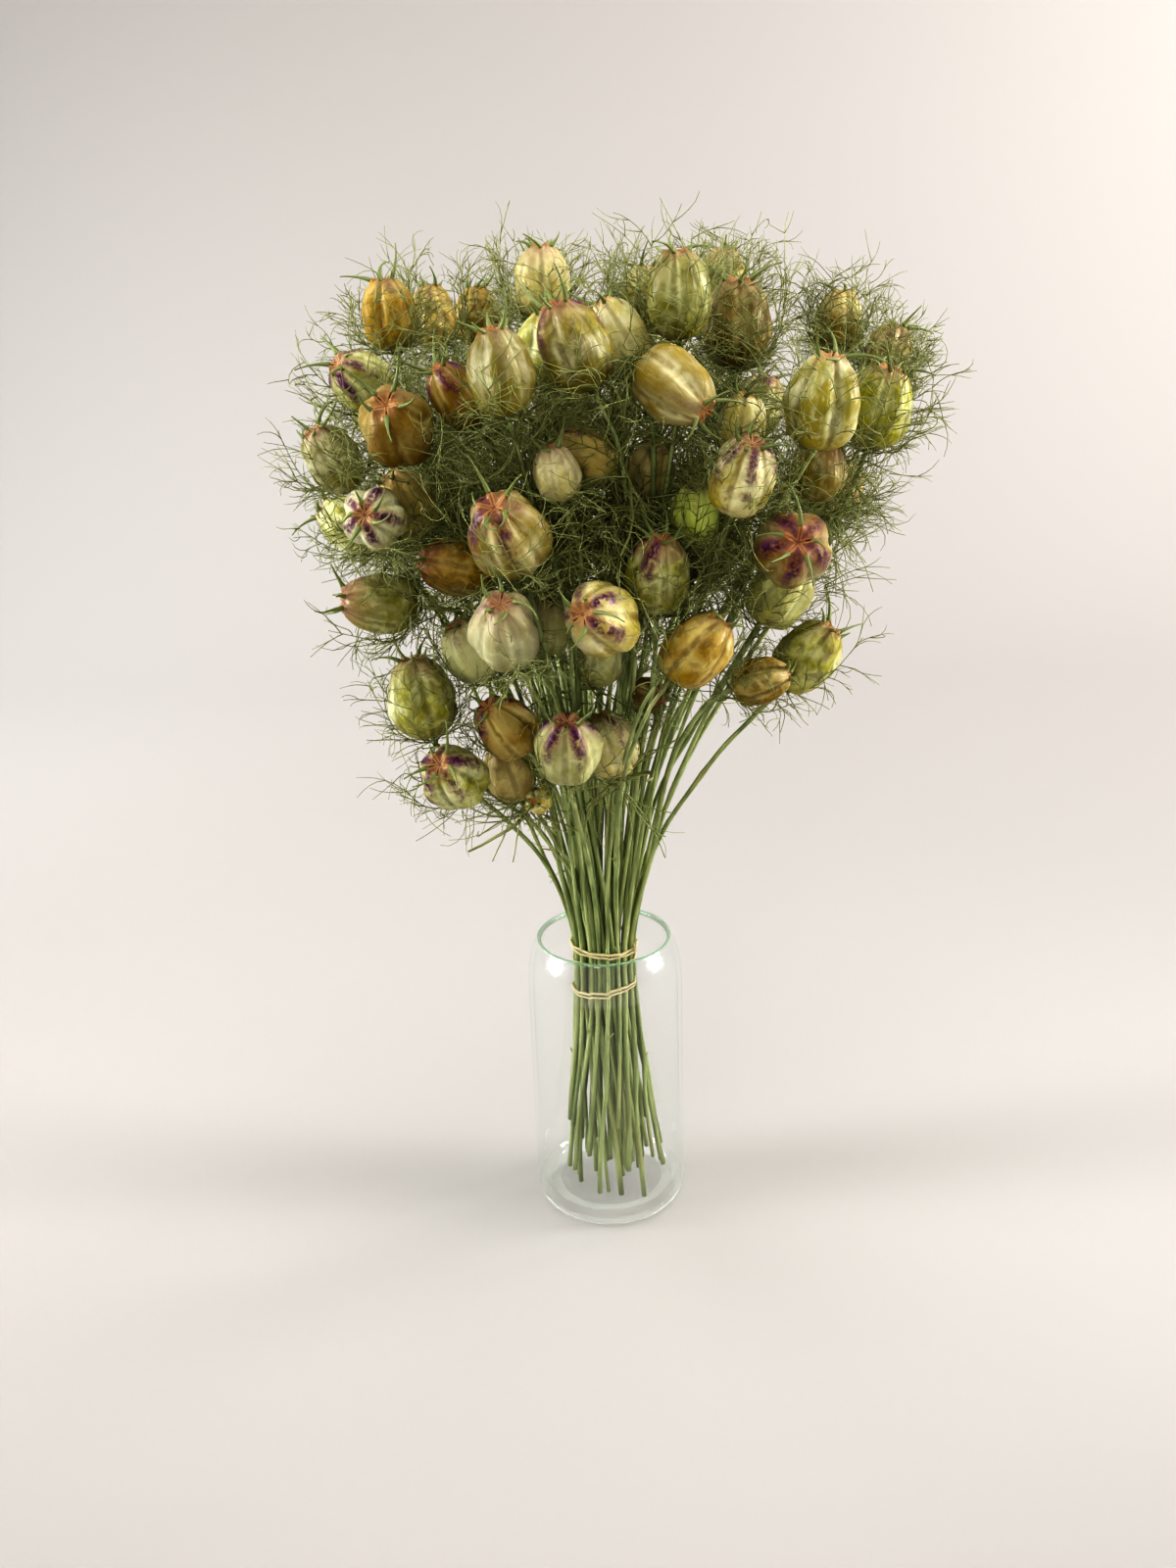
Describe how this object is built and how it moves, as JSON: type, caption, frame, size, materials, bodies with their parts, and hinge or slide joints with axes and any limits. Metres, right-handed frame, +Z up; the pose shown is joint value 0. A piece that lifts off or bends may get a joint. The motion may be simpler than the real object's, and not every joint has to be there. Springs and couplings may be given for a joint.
{
  "type": "bunch of dried nigella seed pods in a vase",
  "caption": "Bunch of dried love-in-a-mist stalks with inflated five-lobed seed pods, tied with two bands and standing in a straight clear glass vase.",
  "frame": {"origin": "centre of the vase's foot, on the surface it stands on", "axes": "+Z up along the vase's axis, -Y to the front of the bunch, +X to its right"},
  "size_m": [0.2718, 0.242, 0.471],
  "materials": {
    "clear_glass": "polished",
    "tan_band": "satin",
    "silver_stalk": "satin",
    "straw_stalk": "satin",
    "amber_stalk": "satin",
    "olive_stalk": "satin",
    "lime_stalk": "satin",
    "dusky_stalk": "satin",
    "silver_striped_stalk": "satin",
    "straw_striped_stalk": "satin",
    "amber_striped_stalk": "satin",
    "olive_striped_stalk": "satin"
  },
  "bodies": {
    "root": {"vase": "clear_glass", "upper_band": "tan_band", "lower_band": "tan_band", "stalk_01": "amber_stalk", "stalk_02": "amber_stalk", "stalk_03": "amber_stalk", "stalk_04": "straw_stalk", "stalk_05": "olive_stalk", "stalk_06": "straw_stalk", "stalk_07": "olive_stalk", "stalk_08": "dusky_stalk", "stalk_09": "straw_stalk", "stalk_10": "dusky_stalk", "stalk_11": "straw_stalk", "stalk_12": "olive_striped_stalk", "stalk_13": "amber_stalk", "stalk_14": "amber_striped_stalk", "stalk_15": "silver_stalk", "stalk_16": "silver_striped_stalk", "stalk_17": "straw_stalk", "stalk_18": "straw_stalk", "stalk_19": "silver_stalk", "stalk_20": "olive_stalk", "stalk_21": "straw_stalk", "stalk_22": "silver_stalk", "stalk_23": "silver_striped_stalk", "stalk_24": "amber_stalk", "stalk_25": "straw_stalk", "stalk_26": "amber_striped_stalk", "stalk_27": "straw_striped_stalk", "stalk_28": "dusky_stalk", "stalk_29": "straw_striped_stalk", "stalk_30": "lime_stalk", "stalk_31": "straw_striped_stalk", "stalk_32": "amber_stalk", "stalk_33": "olive_striped_stalk", "stalk_34": "olive_stalk", "stalk_35": "olive_stalk", "stalk_36": "silver_stalk", "stalk_37": "straw_striped_stalk", "stalk_38": "olive_stalk", "stalk_39": "amber_stalk", "stalk_40": "olive_stalk", "stalk_41": "olive_stalk", "stalk_42": "olive_stalk", "stalk_43": "dusky_stalk", "stalk_44": "olive_stalk", "stalk_45": "amber_striped_stalk", "stalk_46": "olive_striped_stalk", "stalk_47": "olive_striped_stalk", "stalk_48": "straw_striped_stalk", "stalk_49": "dusky_stalk", "stalk_50": "olive_stalk", "stalk_51": "straw_stalk", "stalk_52": "amber_stalk", "stalk_53": "silver_stalk", "stalk_54": "olive_striped_stalk", "stalk_55": "olive_stalk", "stalk_56": "straw_stalk", "stalk_57": "amber_stalk"}
  },
  "joints": []
}
